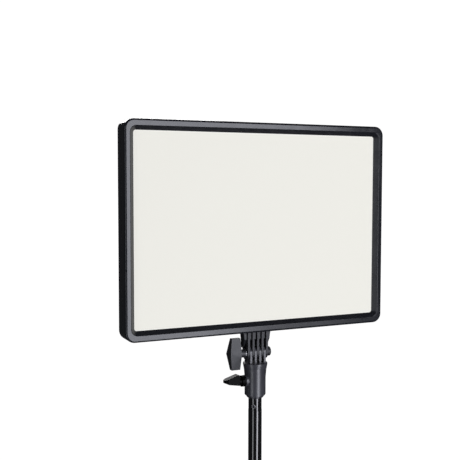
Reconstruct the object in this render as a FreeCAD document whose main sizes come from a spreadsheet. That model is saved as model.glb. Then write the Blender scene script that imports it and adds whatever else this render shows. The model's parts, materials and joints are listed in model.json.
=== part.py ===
import FreeCAD, Part
import math
import os

import Sketcher
from FreeCAD import Placement, Rotation, Vector

# LED panel light on the top tube of a light stand.  Millimetres, +Z up, the light faces -Y.
# The origin is the centre of the stand tube's lower end.

DIMENSIONS = {
    # clearances and allowances used all over
    "overcut": 1.0,
    "fit_gap": 0.05,
    "running_gap": 0.08,
    "body_gap": 0.3,
    "hole_gap": 0.2,
    # stand tube
    "tube_radius": 8.4,
    "turned_radius": 8.2,
    "turned_bottom": 79.0,
    "tube_wall": 1.2,
    "tube_top": 130.0,
    "plug_length": 12.0,
    "plug_recess": 0.6,
    "spigot_bottom": 76.0,
    "spigot_cap": 2.0,
    "spigot_thread": 3.2,
    "spigot_thread_depth": 14.0,
    "rivet_radius": 2.0,
    "rivet_height": 84.4,
    "rivet_angle": 38.0,
    "rivet_length": 3.2,
    "rivet_sink": 0.3,
    # socket that turns on the tube
    "barrel_radius": 13.05,
    "barrel_bottom": 97.3,
    "barrel_chamfer": 1.1,
    "flare_bottom": 120.0,
    "flare_waist": 129.5,
    "flare_radius": 13.85,
    "flange_radius": 15.1,
    "flange_bottom": 136.0,
    "flange_top": 138.4,
    "flange_chamfer": 0.6,
    "bore_top": 133.0,
    "recess_depth": 0.6,
    "recess_half_width": 11.3,
    "recess_top": 132.0,
    "recess_corner": 8.0,
    "liner_radius": 9.5,
    "liner_end_radius": 10.5,
    "liner_bottom": 94.6,
    "liner_chamfer": 0.8,
    "liner_groove": 96.7,
    "groove_width": 0.8,
    "groove_depth": 0.7,
    # clamp screw of the socket
    "clamp_height": 116.2,
    "boss_radius": 7.1,
    "boss_end": 14.6,
    "insert_radius": 5.6,
    "insert_inner": 11.2,
    "stud_radius": 4.0,
    "stud_gap": 0.4,
    "stud_inner": 9.3,
    "pad_radius": 3.2,
    "pad_inner": 8.45,
    "paddle_root": 23.3,
    "paddle_waist": 37.0,
    "paddle_tip": 42.5,
    "paddle_root_high": 9.0,
    "paddle_root_low": 4.7,
    "paddle_waist_high": 4.9,
    "paddle_waist_low": 2.4,
    "paddle_tip_high": 3.0,
    "paddle_tip_low": 0.0,
    "paddle_half_width": 5.8,
    "paddle_edge": 0.9,
    "paddle_tip_radius": 5.3,
    "paddle_turn": -4.0,
    "neck_radius": 4.8,
    "collar_radius": 6.9,
    "collar_end": 19.4,
    # tilt joint
    "pivot_height": 150.5,
    "fin_radius": 8.2,
    "fin_thickness": 2.6,
    "fin_pitch": 6.2,
    "bolt_radius": 3.0,
    "bolt_gap": 0.15,
    "block_front": 5.4,
    "block_back": 6.0,
    "block_bottom": 168.0,
    "block_flare": 174.0,
    "block_half_top": 19.1,
    "block_half_flare": 17.8,
    "block_half_bottom": 17.1,
    "gusset_bottom": 157.0,
    "gusset_half": 16.6,
    "gusset_setback": 1.0,
    "knob_half_length": 19.4,
    "knob_half_middle": 7.0,
    "knob_half_end": 2.9,
    "knob_outer": 36.2,
    "knob_outer_end": 33.0,
    "knob_inner": 21.3,
    "knob_inner_end": 21.7,
    "hub_radius": 5.0,
    "bolt_hold": 3.0,
    "washer_radius": 5.8,
    "washer_thickness": 1.0,
    "cap_radius": 5.9,
    "cap_length": 5.9,
    "cap_edge": 1.2,
    "nut_flats": 9.6,
    "nut_thickness": 4.6,
    # light head
    "head_width": 344.0,
    "head_height": 252.0,
    "head_depth": 28.0,
    "head_middle": 305.0,
    "front_setback": 21.0,
    "head_corner": 11.5,
    "front_edge": 2.7,
    "back_edge": 2.5,
    "seam_depth": 13.0,
    "seam_chamfer": 0.6,
    "side_wall": 2.5,
    "back_wall": 2.2,
    "band_width": 6.8,
    "band_height": 7.7,
    "band_edge": 1.2,
    "slope_width": 5.0,
    "lip_edge": 0.8,
    "window_corner": 3.0,
    "hollow_width": 4.0,
    "front_skin": 2.2,
    "post_radius": 3.0,
    "post_inset": 6.0,
    "post_far": 150.0,
    "post_near": 60.0,
    "vent_count": 12,
    "vent_pitch": 7.0,
    "vent_start": 34.0,
    "vent_width": 3.0,
    "vent_height": 30.0,
    "vent_lift": 78.0,
    # self-tapping screws of the shell and of the boards
    "tapping_radius": 1.3,
    "tapping_pilot": 1.35,
    "tapping_clear": 1.45,
    "tapping_head": 2.6,
    "tapping_head_height": 1.7,
    "head_seat": 2.75,
    "head_seat_depth": 2.3,
    "cover_screw_length": 19.0,
    "housing_screw_length": 13.4,
    "small_radius": 1.0,
    "small_pilot": 1.05,
    "small_clear": 1.15,
    "small_head": 1.9,
    "small_head_height": 1.3,
    "small_length": 5.0,
    # optical stack, from the lip towards the back
    "gasket_thickness": 0.4,
    "gasket_width": 2.2,
    "gasket_width_high": 1.2,
    "stack_overlap": 2.8,
    "stack_overlap_high": 1.8,
    "diffuser_thickness": 1.9,
    "guide_thickness": 3.7,
    "reflector_thickness": 0.3,
    "stack_gap": 0.1,
    "pan_thickness": 1.2,
    "pan_flange": 6.3,
    "pan_extra": 1.0,
    "strip_thickness": 1.2,
    "strip_width": 5.8,
    "led_count": 24,
    "led_height": 0.8,
    "led_width": 3.0,
    "led_length": 5.6,
    "led_pitch": 9.4,
    # control housing on the back
    "housing_width": 160.0,
    "housing_height": 70.0,
    "housing_depth": 12.0,
    "housing_corner": 8.0,
    "housing_edge": 2.0,
    "housing_wall": 2.0,
    "housing_post": 4.0,
    "housing_post_inset": 7.0,
    "opening_width": 144.0,
    "opening_height": 52.0,
    "board_width": 116.0,
    "board_height": 48.0,
    "board_thickness": 1.6,
    "board_setback": 6.4,
    "board_post": 2.5,
    "board_post_across": 54.0,
    "board_post_up": 20.0,
    "display_width": 46.0,
    "display_height": 18.0,
    "display_margin": 1.0,
    "dial_spacing": 42.0,
    "dial_radius": 9.0,
    "dial_skirt": 0.4,
    "dial_skirt_height": 1.2,
    "dial_skirt_top": 2.0,
    "dial_length": 9.5,
    "dial_edge": 1.0,
    "dial_rim": 1.2,
    "dial_dish": 0.5,
    "dial_roof": 1.1,
    "dial_gap": 0.6,
    "flute_count": 20,
    "flute_radius": 0.9,
    "flute_offset": 0.3,
    "encoder_side": 12.0,
    "encoder_bush": 3.4,
    "encoder_shaft": 2.9,
    "encoder_floor": 3.0,
    "switch_across": 66.0,
    "switch_width": 8.6,
    "switch_height": 13.2,
    "switch_depth": 11.0,
    "switch_rim": 1.0,
    "switch_rim_depth": 1.2,
    "switch_floor": 4.2,
    "rocker_half_length": 5.2,
    "rocker_width": 6.2,
    "rocker_gap": 0.4,
    "rocker_end_gap": 0.9,
    "rocker_rest_angle": 8.0,
    "rocker_sink": 0.6,
    "rocker_root": 1.4,
    "rocker_taper": 1.2,
    "rocker_horn": 3.6,
    "rocker_saddle": 2.2,
    "jack_side": 9.0,
    "jack_length": 12.0,
    "jack_nose": 4.0,
    "jack_bore": 2.75,
    "jack_bore_depth": 9.0,
    "jack_pin": 1.0,
    "jack_pin_recess": 1.5,
    "jack_depth": 5.3,
    # driver board
    "driver_across": 115.0,
    "driver_up": 217.0,
    "driver_width": 70.0,
    "driver_height": 56.0,
    "driver_setback": 4.2,
    "driver_post": 2.6,
    "driver_post_inset": 5.0,
    "choke_radius": 6.0,
    "choke_height": 4.6,
    "choke_across": 14.0,
    "choke_up": 6.0,
    "capacitor_radius": 3.1,
    "capacitor_height": 4.8,
    "capacitor_pitch": 10.0,
    "capacitor_across": 2.0,
    "capacitor_down": 10.0,
    "chip_width": 8.0,
    "chip_height": 10.0,
    "chip_thickness": 1.6,
    "chip_pitch": 14.0,
    "chip_across": 4.0,
    "chip_up": 10.0,
    # bracket fixing
    "plate_half_length": 28.0,
    "plate_depth": 10.4,
    "plate_shift": 0.8,
    "plate_thickness": 2.0,
    "yoke_screw_across": 10.5,
    "yoke_screw_radius": 2.0,
    "yoke_screw_length": 15.0,
    "yoke_head": 3.6,
    "yoke_head_height": 2.2,
}

# tolerances of the checks and choosers: mm3, cosine of an angle, mm
LEAST_CUT = 1e-3
PARALLEL = 0.999
SAME_PLANE = 1e-4
CLOSE = 0.01

doc = FreeCAD.newDocument("led_panel_light")
sheet = doc.addObject("Spreadsheet::Sheet", "size")
for row, (alias, number) in enumerate(DIMENSIONS.items(), start=1):
    sheet.set("A%d" % row, alias)
    sheet.set("B%d" % row, str(number))
    sheet.setAlias("B%d" % row, alias)
doc.recompute()

nodes = []


def cell(formula):
    """Turn a formula in plain dimension names into one that reads the sheet."""
    words = []
    word = ""
    for letter in formula + " ":
        if letter.isalnum() or letter == "_":
            word += letter
            continue
        words.append("size." + word if word in DIMENSIONS else word)
        words.append(letter)
        word = ""
    return "".join(words).strip()


def bind(item, **formulas):
    """Bind properties of an object to formulas in dimension names."""
    for name, formula in formulas.items():
        item.setExpression(name, cell(formula))


def place(item, across="0", along="0", up="0", rotation=None):
    """Put an object at a point given by three formulas, turned by a fixed rotation."""
    item.Placement = Placement(Vector(0, 0, 0), rotation or Rotation())
    for letter, formula in zip("xyz", (across, along, up)):
        item.setExpression("Placement.Base." + letter, cell(formula))
    return item


ALONG_X = Rotation(Vector(0, 1, 0), 90)
ALONG_MINUS_X = Rotation(Vector(0, 1, 0), -90)
ALONG_Y = Rotation(Vector(1, 0, 0), -90)
ALONG_MINUS_Y = Rotation(Vector(1, 0, 0), 90)


def box(name, length, width, height, across, along, up):
    """A box given by its sizes along X, Y and Z and its lowest corner."""
    item = doc.addObject("Part::Box", name)
    bind(item, Length=length, Width=width, Height=height)
    return place(item, across, along, up)


def slab(name, length, width, height, across="0", along="0", up="0"):
    """A box centred on X and Z that starts at a given Y."""
    return box(name, length, width, height, across + "-(" + length + ")/2", along,
               up + "-(" + height + ")/2")


def rod(name, radius, length, across="0", along="0", up="0", rotation=None):
    """A cylinder from a point along its axis."""
    item = doc.addObject("Part::Cylinder", name)
    bind(item, Radius=radius, Height=length)
    return place(item, across, along, up, rotation)


def plug(name, radius, length, across="0", along="0", up="0"):
    """A rod along Z that runs past both ends of a stretch, to cut right through it."""
    return rod(name, radius, length + "+2*overcut", across, along, up + "-overcut")


def fuse(name, *items):
    joined = doc.addObject("Part::MultiFuse", name)
    joined.Shapes = list(items)
    joined.Refine = True
    return joined


def cut(name, base, *tools):
    """Take the tools away from the base, and check that they cut something."""
    tool = tools[0] if len(tools) == 1 else fuse(name + "_tools", *tools)
    result = doc.addObject("Part::Cut", name)
    result.Base = base
    result.Tool = tool
    result.Refine = True
    doc.recompute()
    if result.Shape.Volume > base.Shape.Volume - LEAST_CUT:
        raise ValueError(name + ": the cut removed nothing")
    return result


def common(name, base, tool):
    result = doc.addObject("Part::Common", name)
    result.Base = base
    result.Tool = tool
    return result


def group(name, items):
    joined = doc.addObject("Part::Compound", name)
    joined.Links = items
    return joined


def node(label, item):
    """Name a finished sub-part, which is written to its own file."""
    item.Label = label
    nodes.append(item)
    return item


def new_body(name, across="0", along="0", up="0", rotation=None):
    body = doc.addObject("PartDesign::Body", name)
    return place(body, across, along, up, rotation)


def plane(body, role):
    return [item for item in body.Origin.OriginFeatures if item.Role == role][0]


def add_outline(sketch, points):
    """Add a closed outline of straight lines through points given as formulas."""
    count = len(points)
    first = sketch.GeometryCount
    turn = 2 * math.pi / count
    corners = [Vector(math.cos(turn * i), math.sin(turn * i), 0) for i in range(count)]
    for i in range(count):
        sketch.addGeometry(Part.LineSegment(corners[i], corners[(i + 1) % count]))
    for i, (across, up) in enumerate(points):
        following = first + (i + 1) % count
        sketch.addConstraint(Sketcher.Constraint("Coincident", first + i, 2, following, 1))
        for kind, value, formula in (("DistanceX", corners[i].x, across),
                                     ("DistanceY", corners[i].y, up)):
            index = sketch.addConstraint(
                Sketcher.Constraint(kind, -1, 1, first + i, 1, value))
            sketch.setExpression("Constraints[%d]" % index, cell(formula))


def outline(body, name, role, points, lift="0"):
    """A sketch on one of the body's own planes, lifted along that plane's normal."""
    sketch = body.newObject("Sketcher::SketchObject", name)
    sketch.AttachmentSupport = [(plane(body, role), "")]
    sketch.MapMode = "FlatFace"
    sketch.setExpression("AttachmentOffset.Base.z", cell(lift))
    add_outline(sketch, points)
    return sketch


def rectangle(width, height, across="0", up="0"):
    """The four corners of a rectangle given by its size and middle."""
    half_width = "(" + width + ")/2"
    half_height = "(" + height + ")/2"
    return [(across + "-" + half_width, up + "-" + half_height),
            (across + "+" + half_width, up + "-" + half_height),
            (across + "+" + half_width, up + "+" + half_height),
            (across + "-" + half_width, up + "+" + half_height)]


def pad(body, sketch, length, backwards=False):
    feature = body.newObject("PartDesign::Pad", sketch.Name + "_pad")
    feature.Profile = sketch
    bind(feature, Length=length)
    feature.Reversed = backwards
    doc.recompute()
    return feature


def pocket(body, sketch, length, backwards=False):
    """Cut a sketch into the body, and check that it cut something."""
    before = body.Shape.Volume
    feature = body.newObject("PartDesign::Pocket", sketch.Name + "_pocket")
    feature.Profile = sketch
    bind(feature, Length=length)
    feature.Reversed = backwards
    doc.recompute()
    if body.Shape.Volume > before - LEAST_CUT:
        raise ValueError(sketch.Name + ": the pocket removed nothing")
    return feature


def revolve(body, sketch):
    """Turn a sketch of the XZ plane about the body's Z axis."""
    feature = body.newObject("PartDesign::Revolution", sketch.Name + "_turned")
    feature.Profile = sketch
    feature.ReferenceAxis = (plane(body, "Z_Axis"), "")
    feature.Angle = 360
    doc.recompute()
    return feature


def dress(body, kind, chooser, **sizes):
    """Fillet or chamfer the edges of the body's tip that the chooser picks."""
    base = body.Tip
    names = ["Edge%d" % (i + 1) for i, edge in enumerate(base.Shape.Edges) if chooser(edge)]
    feature = body.newObject("PartDesign::" + kind, base.Name + "_" + kind.lower())
    feature.Base = (base, names)
    bind(feature, **sizes)
    doc.recompute()
    return feature


def runs_along(edge, direction):
    """True for a straight edge parallel to a direction."""
    if edge.Curve.TypeId != "Part::GeomLine":
        return False
    return abs(edge.Curve.Direction.dot(direction)) > PARALLEL


def lies_at_depth(edge, depth):
    """True for an edge that lies wholly in the plane Y = depth."""
    limits = edge.BoundBox
    return max(abs(limits.YMin - depth), abs(limits.YMax - depth)) < SAME_PLANE


X_AXIS = Vector(1, 0, 0)
Y_AXIS = Vector(0, 1, 0)
Z_AXIS = Vector(0, 0, 1)


def rounded_slab(name, width, depth, height, corner, across, along, up):
    """A plate square to Y with rounded corners, centred on X and Z, from a given Y."""
    body = new_body(name, across, along, up)
    outside = outline(body, name + "_outline", "XZ_Plane", rectangle(width, height))
    pad(body, outside, depth, backwards=True)
    dress(body, "Fillet", lambda edge: runs_along(edge, Y_AXIS), Radius=corner)
    return body


SLOT_LENGTH = 1.2
SLOT_WIDTH = 0.28
SLOT_DEPTH = 0.5


def screw(name, across, along, up, rotation, shank, length, head, head_height):
    """A pan-head screw with a cross slot: the shank runs from a point, the head lies behind.

    The slot's sizes are shares of the head's radius and height.
    """
    turn = Placement(Vector(0, 0, 0), rotation)
    start = (across, along, up)

    def moved(*steps):
        """The start moved by steps, each a direction of the screw's own and a formula."""
        point = list(start)
        for direction, distance in steps:
            for axis, share in enumerate(turn.multVec(direction)):
                if round(share):
                    point[axis] += "+(%d)*(%s)" % (round(share), distance)
        return point

    shaft = rod(name + "_shank", shank, length, *start, rotation)
    behind = (-Z_AXIS, head_height)
    cap = rod(name + "_head", head, head_height, *moved(behind), rotation)
    slots = []
    for index, (long_side, short_side) in enumerate(((SLOT_LENGTH, SLOT_WIDTH),
                                                     (SLOT_WIDTH, SLOT_LENGTH))):
        slot = doc.addObject("Part::Box", "%s_slot%d" % (name, index))
        bind(slot, Length="%s*%g" % (head, long_side), Width="%s*%g" % (head, short_side),
             Height="%s*%g" % (head_height, SLOT_DEPTH))
        corner = moved(behind, (-X_AXIS, "%s*%g/2" % (head, long_side)),
                       (-Y_AXIS, "%s*%g/2" % (head, short_side)))
        slots.append(place(slot, *corner, rotation))
    return cut(name, fuse(name + "_blank", shaft, cap), *slots)


# ---------------------------------------------------------------- stand tube

def make_stand():
    """The top tube of the stand with its lower plug, spigot and rivet.

    The upper stretch is turned down a little where the socket's liner runs on it.
    """
    outside = fuse("tube_outside",
                   rod("tube_lower", "tube_radius", "turned_bottom"),
                   rod("tube_upper", "turned_radius", "tube_top-turned_bottom",
                       up="turned_bottom"))
    inside = plug("tube_inside", "tube_radius-tube_wall", "tube_top")
    facing = Rotation(Z_AXIS, -90 - DIMENSIONS["rivet_angle"]).multiply(ALONG_X)
    hole = rod("rivet_hole", "rivet_radius", "tube_radius+overcut", up="rivet_height",
               rotation=facing)
    node("stand_tube", cut("stand_tube", outside, inside, hole))

    node("tube_plug", rod("tube_plug", "tube_radius-tube_wall", "plug_length",
                          up="plug_recess"))

    core = rod("spigot_core", "tube_radius-tube_wall", "tube_top-spigot_bottom",
               up="spigot_bottom")
    cap = rod("spigot_cap_disc", "turned_radius", "spigot_cap", up="tube_top")
    thread = rod("spigot_thread_hole", "spigot_thread", "spigot_thread_depth+overcut",
                 up="tube_top+spigot_cap-spigot_thread_depth")
    rivet_seat = rod("rivet_seat", "rivet_radius", "tube_radius+overcut", up="rivet_height",
                     rotation=facing)
    node("spigot", cut("spigot", fuse("spigot_blank", core, cap), thread, rivet_seat))

    rivet = doc.addObject("Part::Cylinder", "rivet_body")
    bind(rivet, Radius="rivet_radius-fit_gap", Height="rivet_length")
    reach = "(turned_radius-rivet_sink-rivet_length)"
    place(rivet, "-" + reach + "*sin(rivet_angle*1deg)", "-" + reach + "*cos(rivet_angle*1deg)",
          "rivet_height", facing)
    node("tube_rivet", rivet)


# ---------------------------------------------------------------- socket

def along_clamp(name, radius, start, end):
    """A rod on the clamp screw's axis, between two distances from the tube's axis."""
    return rod(name, radius, end + "-(" + start + ")", "-(" + start + ")", "0",
               "clamp_height", ALONG_MINUS_X)


def across_pivot(name, radius):
    """A rod on the pivot's axis, long enough to cut through every fin."""
    return rod(name, radius, "2*knob_inner", "-knob_inner", "0", "pivot_height", ALONG_X)


def make_socket():
    """The barrel that turns on the tube, with four fins for the tilt joint."""
    body = new_body("socket_barrel")
    bore = "liner_radius+fit_gap"
    profile = outline(body, "barrel_profile", "XZ_Plane", [
        (bore, "barrel_bottom"),
        ("barrel_radius-barrel_chamfer", "barrel_bottom"),
        ("barrel_radius", "barrel_bottom+barrel_chamfer"),
        ("barrel_radius", "flare_bottom"),
        ("flare_radius", "flare_waist"),
        ("flange_radius", "flange_bottom"),
        ("flange_radius", "flange_top-flange_chamfer"),
        ("flange_radius-flange_chamfer", "flange_top"),
        ("0", "flange_top"),
        ("0", "bore_top"),
        (bore, "bore_top")])
    revolve(body, profile)
    root = "(flange_top-overcut)"
    parts = [body, along_clamp("clamp_boss", "boss_radius", "barrel_radius-3*overcut",
                               "boss_end")]
    for index in range(4):
        left = "(%g)*fin_pitch-fin_thickness/2" % (index - 1.5)
        parts.append(box("socket_fin%d" % index, "fin_thickness", "fin_radius*2",
                         "pivot_height-" + root, left, "-fin_radius", root))
        parts.append(rod("socket_fin_end%d" % index, "fin_radius", "fin_thickness",
                         left, "0", "pivot_height", ALONG_X))
    blank = fuse("socket_blank", *parts)

    window = new_body("recess_prism")
    shape = outline(window, "recess_outline", "XZ_Plane", [
        ("-recess_half_width", "barrel_bottom-overcut"),
        ("recess_half_width", "barrel_bottom-overcut"),
        ("recess_half_width", "recess_top"),
        ("-recess_half_width", "recess_top")])
    pad(window, shape, "flange_radius+overcut")
    dress(window, "Fillet",
          lambda edge: runs_along(edge, Y_AXIS) and edge.BoundBox.ZMin > DIMENSIONS["flare_bottom"],
          Radius="recess_corner")
    ring = cut("recess_ring",
               rod("recess_ring_outside", "flange_radius+overcut",
                   "flange_top-barrel_bottom+2*overcut", up="barrel_bottom-overcut"),
               rod("recess_ring_inside", "barrel_radius-recess_depth",
                   "flange_top-barrel_bottom+4*overcut", up="barrel_bottom-2*overcut"))
    recess = common("socket_recess", window, ring)

    pivot_bore = across_pivot("socket_pivot_bore", "bolt_radius+bolt_gap")
    insert_seat = along_clamp("insert_seat", "insert_radius+fit_gap", "insert_inner",
                              "boss_end+overcut")
    stud_way = along_clamp("stud_way", "stud_radius+stud_gap", "tube_radius/2", "boss_end")
    node("stand_socket", cut("stand_socket", blank, recess, pivot_bore, insert_seat, stud_way))

    liner = new_body("liner_turned")
    bore = "turned_radius+running_gap"
    profile = outline(liner, "liner_profile", "XZ_Plane", [
        (bore, "liner_bottom"),
        ("liner_end_radius-liner_chamfer", "liner_bottom"),
        ("liner_end_radius", "liner_bottom+liner_chamfer"),
        ("liner_end_radius", "liner_groove-groove_width"),
        ("liner_end_radius-groove_depth", "liner_groove-groove_width"),
        ("liner_end_radius-groove_depth", "liner_groove"),
        ("liner_end_radius", "liner_groove"),
        ("liner_end_radius", "barrel_bottom"),
        ("liner_radius", "barrel_bottom"),
        ("liner_radius", "bore_top-fit_gap"),
        (bore, "bore_top-fit_gap")])
    revolve(liner, profile)
    way = along_clamp("liner_stud_way", "stud_radius+stud_gap", "tube_radius/2",
                      "barrel_radius")
    node("socket_liner", cut("socket_liner", liner, way))

    insert = along_clamp("insert_outside", "insert_radius", "insert_inner+fit_gap", "boss_end")
    tapped = along_clamp("insert_thread", "stud_radius+fit_gap", "tube_radius/2",
                         "boss_end+overcut")
    node("clamp_insert", cut("clamp_insert", insert, tapped))


def make_clamp_screw():
    """The paddle-headed screw that locks the socket to the tube."""
    body = new_body("paddle", up="clamp_height",
                    rotation=Rotation(X_AXIS, DIMENSIONS["paddle_turn"]))
    side = outline(body, "paddle_side", "XZ_Plane", [
        ("-paddle_root", "paddle_root_high"),
        ("-paddle_waist", "paddle_waist_high"),
        ("-paddle_tip", "paddle_tip_high"),
        ("-paddle_tip", "paddle_tip_low"),
        ("-paddle_waist", "-paddle_waist_low"),
        ("-paddle_root", "-paddle_root_low")], "-paddle_half_width")
    pad(body, side, "paddle_half_width*2")
    near_tip = DIMENSIONS["paddle_edge"] - DIMENSIONS["paddle_tip"]
    level = DIMENSIONS["paddle_tip_low"]
    dress(body, "Fillet",
          lambda edge: runs_along(edge, Z_AXIS) and edge.BoundBox.XMin < near_tip,
          Radius="paddle_tip_radius")
    dress(body, "Fillet",
          lambda edge: edge.BoundBox.ZMin > level or edge.BoundBox.ZMax < level + CLOSE,
          Radius="paddle_edge")
    neck = along_clamp("paddle_neck", "neck_radius", "boss_end+body_gap",
                       "paddle_root+2*overcut")
    collar = along_clamp("paddle_collar", "collar_radius", "boss_end+body_gap", "collar_end")
    blank = fuse("clamp_knob_blank", body, neck, collar)
    seat = along_clamp("stud_seat", "stud_radius", "boss_end", "paddle_root")
    node("clamp_knob", cut("clamp_knob", blank, seat))
    node("clamp_stud", along_clamp("clamp_stud", "stud_radius", "stud_inner", "paddle_root"))
    node("clamp_pad", along_clamp("clamp_pad", "pad_radius", "pad_inner", "stud_inner"))


# ---------------------------------------------------------------- tilt joint

def make_yoke():
    """The five-finned bracket under the light head.

    Its block flares towards the head, and a gusset below the block slopes back on each side.
    """
    top = "(head_middle-head_height/2)"
    front = new_body("yoke_front_view")
    inner = "(2*fin_pitch-fin_thickness/2)"
    right = [(inner, "block_bottom"),
             (inner, "gusset_bottom"),
             ("gusset_half", "gusset_bottom"),
             ("block_half_bottom", "block_bottom"),
             ("block_half_flare", "block_flare"),
             ("block_half_top", top)]
    left = [("-" + across, up) for across, up in reversed(right)]
    face = outline(front, "yoke_front", "XZ_Plane", right + left, "-fin_radius")
    pad(front, face, "fin_radius*2")
    profile = new_body("yoke_side_view")
    edge = outline(profile, "yoke_side", "YZ_Plane", [
        ("block_back", top),
        ("-block_front", top),
        ("-block_front", "block_bottom"),
        ("gusset_setback", "gusset_bottom"),
        ("block_back", "gusset_bottom")], "-2*knob_inner")
    pad(profile, edge, "4*knob_inner")
    parts = [common("yoke_block", front, profile)]
    for index in range(5):
        start = "(%d)*fin_pitch-fin_thickness/2" % (index - 2)
        parts.append(box("yoke_fin%d" % index, "fin_thickness", "fin_radius*2",
                         top + "-pivot_height", start, "-fin_radius", "pivot_height"))
        parts.append(rod("yoke_fin_end%d" % index, "fin_radius", "fin_thickness", start, "0",
                         "pivot_height", ALONG_X))
    blank = fuse("yoke_blank", *parts)
    tools = [across_pivot("yoke_pivot_bore", "bolt_radius+bolt_gap")]
    for index, across in enumerate(YOKE_SCREWS):
        tools.append(rod("yoke_tapped%d" % index, "yoke_screw_radius+fit_gap",
                         "yoke_screw_length", across, "0",
                         top + "-yoke_screw_length+side_wall+plate_thickness"))
    node("tilt_yoke", cut("tilt_yoke", blank, *tools))


YOKE_SCREWS = ["-yoke_screw_across", "0", "yoke_screw_across"]


def make_yoke_fixing():
    """The steel plate inside the head and the screws that pull the yoke to it."""
    floor = "(head_middle-head_height/2+side_wall)"
    plate = box("plate_blank", "plate_half_length*2", "plate_depth", "plate_thickness",
                "-plate_half_length", "-plate_depth/2-plate_shift", floor + "+stack_gap")
    holes = [plug("plate_hole%d" % index, "yoke_screw_radius+hole_gap", "plate_thickness",
                  across, "0", floor + "+stack_gap")
             for index, across in enumerate(YOKE_SCREWS)]
    node("yoke_plate", cut("yoke_plate", plate, *holes))
    down = Rotation(X_AXIS, 180)
    screws = [screw("yoke_screw%d" % index, across, "0",
                    floor + "+stack_gap+plate_thickness", down, "yoke_screw_radius",
                    "yoke_screw_length", "yoke_head", "yoke_head_height")
              for index, across in enumerate(YOKE_SCREWS)]
    node("yoke_screws", group("yoke_screws", screws))


def make_tilt_knob():
    """The lozenge-shaped knob and the bolt that clamps the fins."""
    face = new_body("knob_face", up="pivot_height")
    lozenge = outline(face, "knob_lozenge", "YZ_Plane", [
        ("-knob_half_end", "knob_half_length"), ("-knob_half_middle", "0"),
        ("-knob_half_end", "-knob_half_length"), ("knob_half_end", "-knob_half_length"),
        ("knob_half_middle", "0"), ("knob_half_end", "knob_half_length")],
        "-knob_outer-overcut")
    pad(face, lozenge, "knob_outer-knob_inner+2*overcut")
    crown = new_body("knob_crown", up="pivot_height")
    side = outline(crown, "knob_side", "XZ_Plane", [
        ("-knob_outer_end", "knob_half_length"), ("-knob_outer", "0"),
        ("-knob_outer_end", "-knob_half_length"), ("-knob_inner_end", "-knob_half_length"),
        ("-knob_inner", "-hub_radius"), ("-knob_inner", "hub_radius"),
        ("-knob_inner_end", "knob_half_length")], "-knob_half_middle-overcut")
    pad(crown, side, "(knob_half_middle+overcut)*2")
    lever = common("knob_lever", face, crown)
    inner_face = "(2*fin_pitch+fin_thickness/2+body_gap+washer_thickness)"
    hub = rod("knob_hub", "hub_radius", "knob_inner+overcut-" + inner_face,
              "-" + inner_face, "0", "pivot_height", ALONG_MINUS_X)
    bolt_start = "(knob_inner+bolt_hold)"
    seat = rod("bolt_seat", "bolt_radius", bolt_start + "+overcut-" + inner_face,
               "-" + inner_face + "+overcut", "0", "pivot_height", ALONG_MINUS_X)
    node("tilt_knob", cut("tilt_knob", fuse("knob_blank", lever, hub), seat))

    bolt_end = "(2*fin_pitch+fin_thickness/2+nut_thickness+body_gap)"
    node("tilt_bolt", rod("tilt_bolt", "bolt_radius", bolt_start + "+" + bolt_end,
                          "-" + bolt_start, "0", "pivot_height", ALONG_X))
    washer = rod("washer_blank", "washer_radius", "washer_thickness", "-" + inner_face, "0",
                 "pivot_height", ALONG_X)
    node("tilt_washer", cut("tilt_washer", washer,
                            across_pivot("washer_bore", "bolt_radius+fit_gap")))


def make_tilt_nut():
    """The captive nut and its round cap on the far side of the yoke."""
    side = "(2*fin_pitch+fin_thickness/2)"
    cap = rod("cap_blank", "cap_radius", "cap_length", side, "0", "pivot_height", ALONG_X)
    rounded = doc.addObject("Part::Fillet", "cap_rounded")
    rounded.Base = cap
    doc.recompute()
    far = max(range(len(cap.Shape.Edges)), key=lambda i: cap.Shape.Edges[i].BoundBox.XMin)
    rounded.Edges = [(far + 1, DIMENSIONS["cap_edge"], DIMENSIONS["cap_edge"])]
    corner = "nut_flats/(2*cos(30deg))"
    hexagon = prism("nut_pocket", corner + "+fit_gap", "nut_thickness+fit_gap", side)
    tip_room = rod("bolt_tip_room", "bolt_radius+stud_gap", "nut_thickness+2*body_gap", side,
                   "0", "pivot_height", ALONG_X)
    node("nut_cap", cut("nut_cap", rounded, hexagon, tip_room))
    nut = prism("nut_blank", corner, "nut_thickness", side)
    node("tilt_nut", cut("tilt_nut", nut, across_pivot("nut_bore", "bolt_radius+stack_gap")))


def prism(name, corner, length, across):
    """A hexagonal prism on the pivot's axis, given by the radius to its corners."""
    item = doc.addObject("Part::Prism", name)
    item.Polygon = 6
    bind(item, Circumradius=corner, Height=length)
    return place(item, across, "0", "pivot_height", ALONG_X)


# ---------------------------------------------------------------- light head

HEAD = ("0", "-front_setback", "head_middle")
POSTS = [(side + reach, level) for level in ("-", "") for side in ("-", "")
         for reach in ("post_far", "post_near")]
WINDOW_WIDTH = "(head_width-2*band_width-2*slope_width)"
WINDOW_HEIGHT = "(head_height-2*band_height-2*slope_width)"
LIP_DEPTH = "(slope_width+lip_edge)"


def post_height(level):
    return "head_middle" + (level or "+") + "(head_height/2-post_inset)"


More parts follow.
